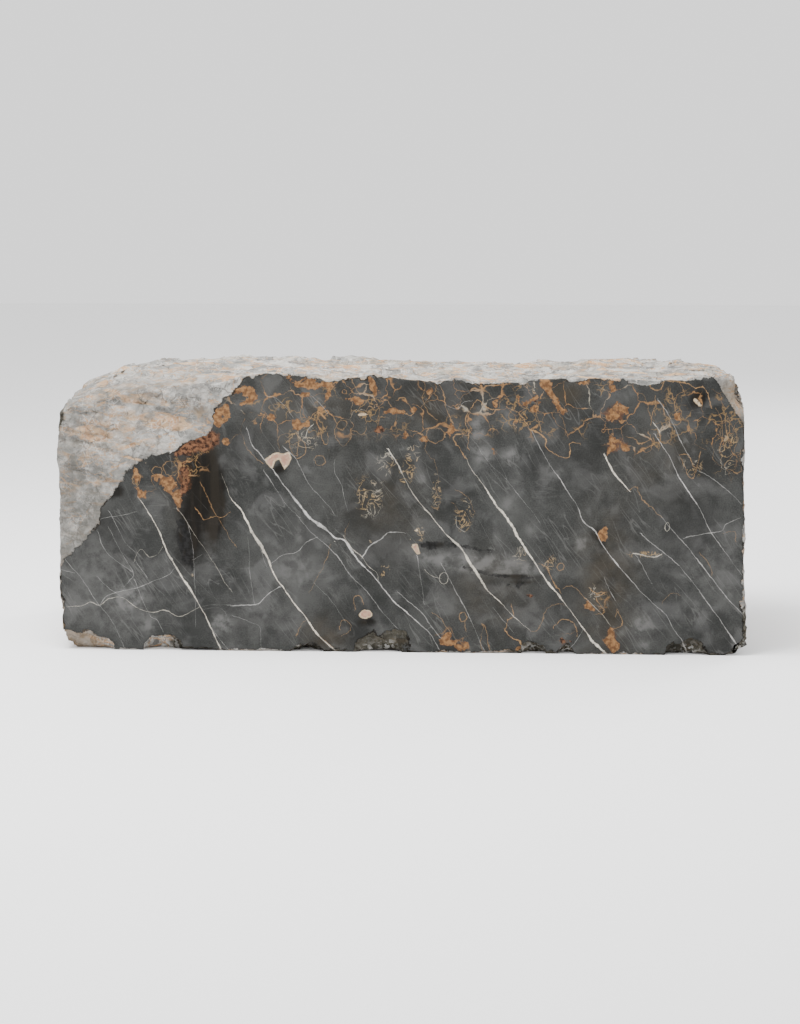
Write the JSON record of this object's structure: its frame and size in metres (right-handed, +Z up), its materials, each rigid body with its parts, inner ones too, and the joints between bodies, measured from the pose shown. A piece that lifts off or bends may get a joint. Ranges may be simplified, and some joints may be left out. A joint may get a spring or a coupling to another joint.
{
  "type": "marble block",
  "caption": "Rough quarried block of dark marble with one flat sawn face, a broken upper corner and split back, ends and top.",
  "frame": {"origin": "middle of the flat underside, under the centre of the block's box", "axes": "+X along the block to the right as seen facing the sawn face, +Y from the sawn face to the split back, +Z up"},
  "size_m": [1.1397, 0.4, 0.4561],
  "materials": {
    "marble": "dark grey veined marble, honed on the sawn face and pale and rough where it is split"
  },
  "bodies": {
    "root": {"marble_block": "marble"}
  },
  "joints": []
}
